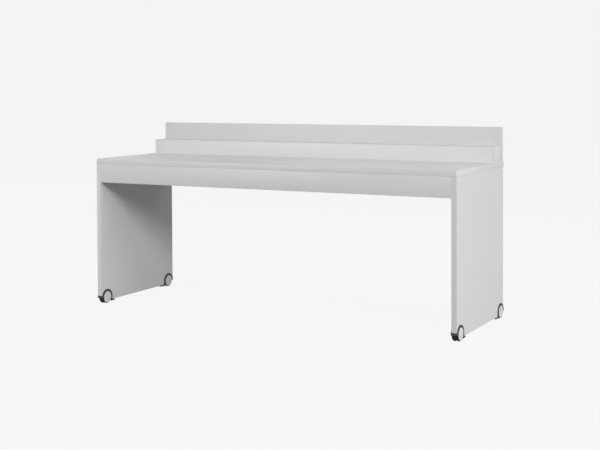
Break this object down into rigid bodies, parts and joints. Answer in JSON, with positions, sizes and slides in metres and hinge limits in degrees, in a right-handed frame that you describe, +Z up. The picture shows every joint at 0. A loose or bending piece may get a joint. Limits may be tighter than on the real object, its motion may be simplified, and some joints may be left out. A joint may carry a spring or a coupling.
{
  "type": "desk on castors",
  "caption": "Long straight desk on panel-edge castors, with two slab end panels, a front apron, a boxed raised shelf along the back and a thin upstand behind it.",
  "frame": {"origin": "on the floor under the centre of the worktop's outline", "axes": "+X along the desk to the sitter's right, +Y from the sitter towards the upstand, +Z up"},
  "size_m": [2.011, 0.66, 0.938],
  "materials": {
    "lacquered_board": "white satin lacquer on fibreboard",
    "beech": "plain turned beech",
    "zinc": "zinc plated",
    "steel": "bright steel",
    "housing_plastic": "moulded, fine matt texture",
    "core_plastic": "moulded",
    "disc_plastic": "moulded, satin",
    "tyre_rubber": "soft dark tyre"
  },
  "bodies": {
    "desk": {"worktop": "lacquered_board", "left_end_panel": "lacquered_board", "right_end_panel": "lacquered_board", "front_apron": "lacquered_board", "rear_rail": "lacquered_board", "shelf_front_board": "lacquered_board", "shelf_top_board": "lacquered_board", "shelf_left_end": "lacquered_board", "shelf_right_end": "lacquered_board", "upstand_panel": "lacquered_board", "frame_dowels": "beech", "shelf_dowels": "beech", "cam_bolts": "zinc", "cam_discs": "zinc", "angle_brackets": "zinc", "bracket_screws": "zinc", "shelf_front_screws": "steel", "upstand_screws": "steel", "castor_screws": "steel", "axle_clips": "steel", "front_left_castor_housing": "housing_plastic", "front_left_castor_axle": "steel", "front_right_castor_housing": "housing_plastic", "front_right_castor_axle": "steel", "rear_left_castor_housing": "housing_plastic", "rear_left_castor_axle": "steel", "rear_right_castor_housing": "housing_plastic", "rear_right_castor_axle": "steel"},
    "front_left_inner_wheel": {"front_left_inner_wheel_core": "core_plastic", "front_left_inner_wheel_tyre": "tyre_rubber", "front_left_inner_wheel_disc": "disc_plastic"},
    "front_left_outer_wheel": {"front_left_outer_wheel_core": "core_plastic", "front_left_outer_wheel_tyre": "tyre_rubber", "front_left_outer_wheel_disc": "disc_plastic"},
    "front_right_inner_wheel": {"front_right_inner_wheel_core": "core_plastic", "front_right_inner_wheel_tyre": "tyre_rubber", "front_right_inner_wheel_disc": "disc_plastic"},
    "front_right_outer_wheel": {"front_right_outer_wheel_core": "core_plastic", "front_right_outer_wheel_tyre": "tyre_rubber", "front_right_outer_wheel_disc": "disc_plastic"},
    "rear_left_inner_wheel": {"rear_left_inner_wheel_core": "core_plastic", "rear_left_inner_wheel_tyre": "tyre_rubber", "rear_left_inner_wheel_disc": "disc_plastic"},
    "rear_left_outer_wheel": {"rear_left_outer_wheel_core": "core_plastic", "rear_left_outer_wheel_tyre": "tyre_rubber", "rear_left_outer_wheel_disc": "disc_plastic"},
    "rear_right_inner_wheel": {"rear_right_inner_wheel_core": "core_plastic", "rear_right_inner_wheel_tyre": "tyre_rubber", "rear_right_inner_wheel_disc": "disc_plastic"},
    "rear_right_outer_wheel": {"rear_right_outer_wheel_core": "core_plastic", "rear_right_outer_wheel_tyre": "tyre_rubber", "rear_right_outer_wheel_disc": "disc_plastic"}
  },
  "joints": [
    {"name": "front_left_inner_spin", "type": "hinge", "parent": "desk", "child": "front_left_inner_wheel", "pos_m": [-0.97675, -0.286, 0.0325], "axis": [1, 0, 0], "continuous": true},
    {"name": "front_left_outer_spin", "type": "hinge", "parent": "desk", "child": "front_left_outer_wheel", "pos_m": [-0.99825, -0.286, 0.0325], "axis": [1, 0, 0], "continuous": true},
    {"name": "front_right_inner_spin", "type": "hinge", "parent": "desk", "child": "front_right_inner_wheel", "pos_m": [0.97675, -0.286, 0.0325], "axis": [1, 0, 0], "continuous": true},
    {"name": "front_right_outer_spin", "type": "hinge", "parent": "desk", "child": "front_right_outer_wheel", "pos_m": [0.99825, -0.286, 0.0325], "axis": [1, 0, 0], "continuous": true},
    {"name": "rear_left_inner_spin", "type": "hinge", "parent": "desk", "child": "rear_left_inner_wheel", "pos_m": [-0.97675, 0.276, 0.0325], "axis": [1, 0, 0], "continuous": true},
    {"name": "rear_left_outer_spin", "type": "hinge", "parent": "desk", "child": "rear_left_outer_wheel", "pos_m": [-0.99825, 0.276, 0.0325], "axis": [1, 0, 0], "continuous": true},
    {"name": "rear_right_inner_spin", "type": "hinge", "parent": "desk", "child": "rear_right_inner_wheel", "pos_m": [0.97675, 0.276, 0.0325], "axis": [1, 0, 0], "continuous": true},
    {"name": "rear_right_outer_spin", "type": "hinge", "parent": "desk", "child": "rear_right_outer_wheel", "pos_m": [0.99825, 0.276, 0.0325], "axis": [1, 0, 0], "continuous": true}
  ]
}
